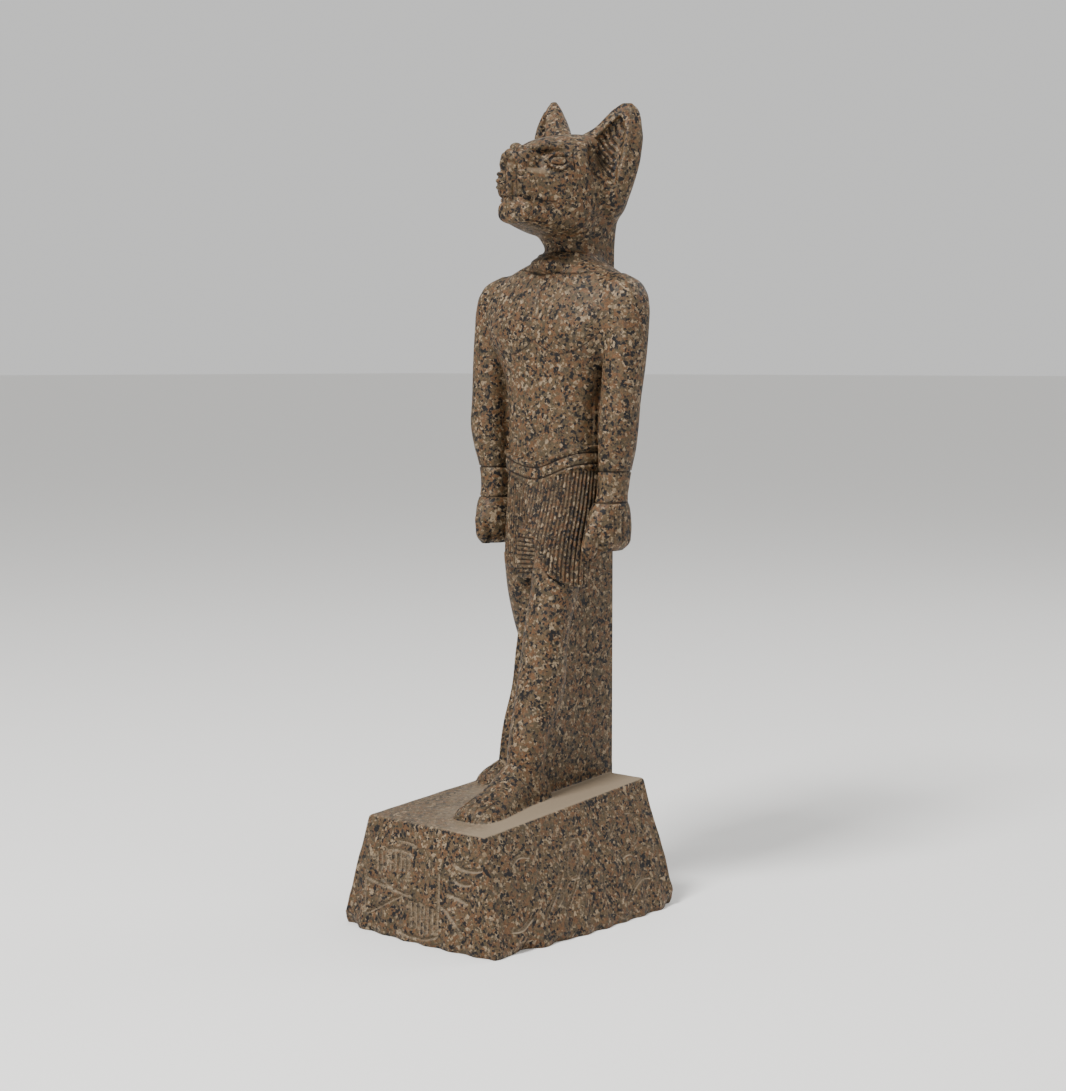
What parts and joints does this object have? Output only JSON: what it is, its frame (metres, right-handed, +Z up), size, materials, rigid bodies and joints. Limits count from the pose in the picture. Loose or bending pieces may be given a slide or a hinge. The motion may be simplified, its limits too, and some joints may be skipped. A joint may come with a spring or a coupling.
{
  "type": "striding cat-headed figure statuette",
  "caption": "Granite statuette of a striding figure with a cat's head and a pleated kilt, carved with its back pillar and battered base.",
  "frame": {"origin": "middle of the base's flat underside, which is the bottom centre of the bounding box", "axes": "+Z up through the figure, the longest extent; the figure faces -Y and its left side is +X"},
  "size_m": [0.1082, 0.1426, 0.4016],
  "materials": {
    "granite": "matte"
  },
  "bodies": {
    "root": {"statuette": "granite"}
  },
  "joints": []
}
